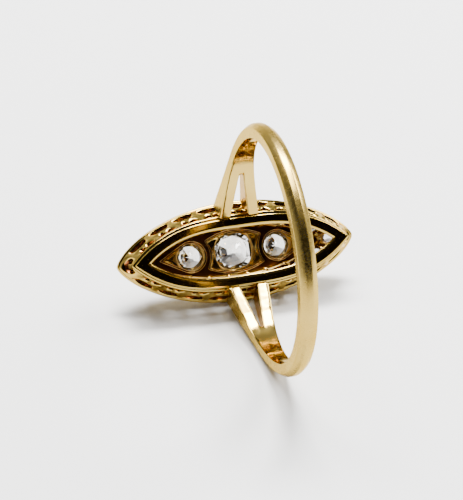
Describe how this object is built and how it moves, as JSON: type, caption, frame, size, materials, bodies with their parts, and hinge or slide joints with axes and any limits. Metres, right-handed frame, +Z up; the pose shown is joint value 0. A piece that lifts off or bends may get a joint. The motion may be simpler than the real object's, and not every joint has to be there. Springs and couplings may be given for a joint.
{
  "type": "navette ring",
  "caption": "Gold finger ring with a long pointed head of cut stones over an openwork gallery and a forked band.",
  "frame": {"origin": "on the surface that the ring lies on, under the middle of its bounding box", "axes": "+X along the finger hole and along the head's long axis, +Z up from the surface, -Y from the back of the band towards the viewer and +Y towards the head's face"},
  "size_m": [0.0204, 0.0218, 0.0193],
  "materials": {
    "gold": "polished yellow gold",
    "diamond": "cut and polished, clear"
  },
  "bodies": {
    "root": {"gold_mount": "gold", "centre_diamond": "diamond", "side_diamond_left": "diamond", "side_diamond_right": "diamond", "border_diamond_1": "diamond", "border_diamond_2": "diamond", "border_diamond_3": "diamond", "border_diamond_4": "diamond", "border_diamond_5": "diamond", "border_diamond_6": "diamond", "border_diamond_7": "diamond", "border_diamond_8": "diamond", "border_diamond_9": "diamond", "border_diamond_10": "diamond", "border_diamond_11": "diamond", "border_diamond_12": "diamond", "border_diamond_13": "diamond", "border_diamond_14": "diamond", "border_diamond_15": "diamond", "border_diamond_16": "diamond", "border_diamond_17": "diamond", "border_diamond_18": "diamond", "border_diamond_19": "diamond", "border_diamond_20": "diamond"}
  },
  "joints": []
}
